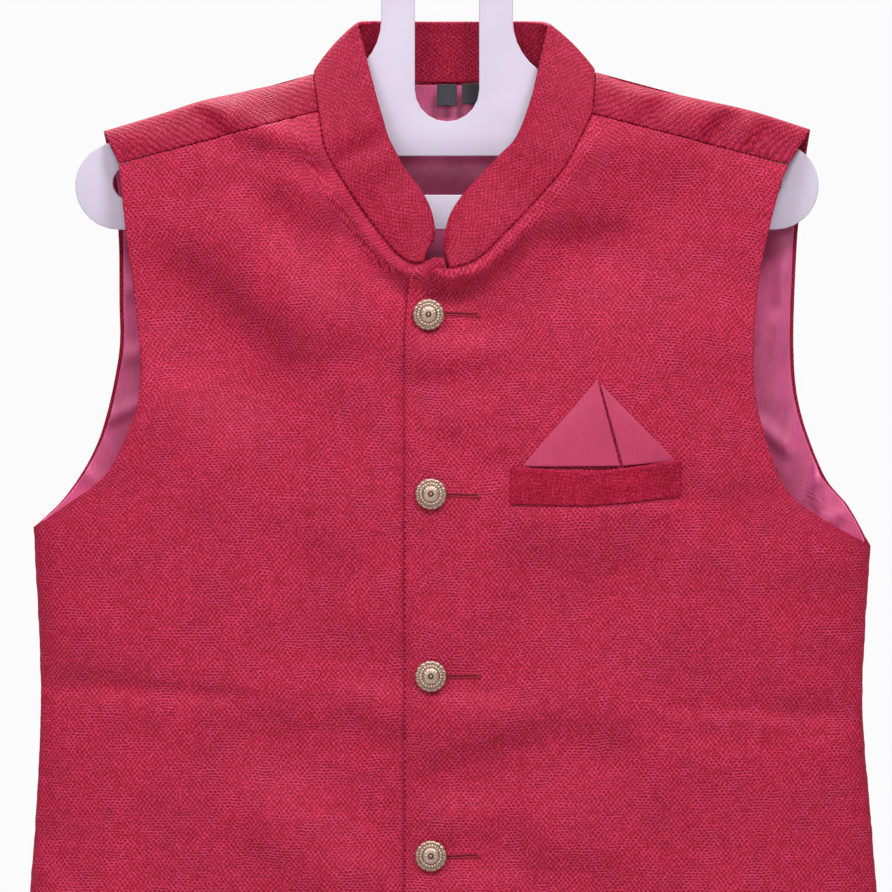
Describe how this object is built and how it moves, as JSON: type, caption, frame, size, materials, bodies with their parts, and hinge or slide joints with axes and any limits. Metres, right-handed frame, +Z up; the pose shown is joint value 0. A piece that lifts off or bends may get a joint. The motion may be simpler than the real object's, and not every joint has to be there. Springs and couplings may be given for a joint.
{
  "type": "nehru jacket on a hanger",
  "caption": "Sleeveless stand-collar jacket, buttoned at the front, with a welt chest pocket and folded square, hanging on a flat loop-head hanger.",
  "frame": {"origin": "inside top of the hanger's loop, where a peg or rail touches it", "axes": "+X to the wearer's left, -Y the front of the jacket, +Z up"},
  "size_m": [0.518, 0.0707, 0.8031],
  "materials": {
    "cloth": "matte hopsack weave, crimson",
    "satin": "smooth satin lining, rose",
    "button": "antique cast brass",
    "tab": "woven tape, dark grey, bare",
    "board": "pale lilac, satin"
  },
  "bodies": {
    "root": {"front_left": "cloth", "front_right": "cloth", "back": "cloth", "collar": "cloth", "pocket_welt": "cloth", "pocket_square": "satin", "lining_front_left": "satin", "lining_front_right": "satin", "lining_back": "satin", "button_1": "button", "button_2": "button", "button_3": "button", "button_4": "button", "button_5": "button", "label_care": "tab", "label_size": "tab", "hanger": "board"}
  },
  "joints": []
}
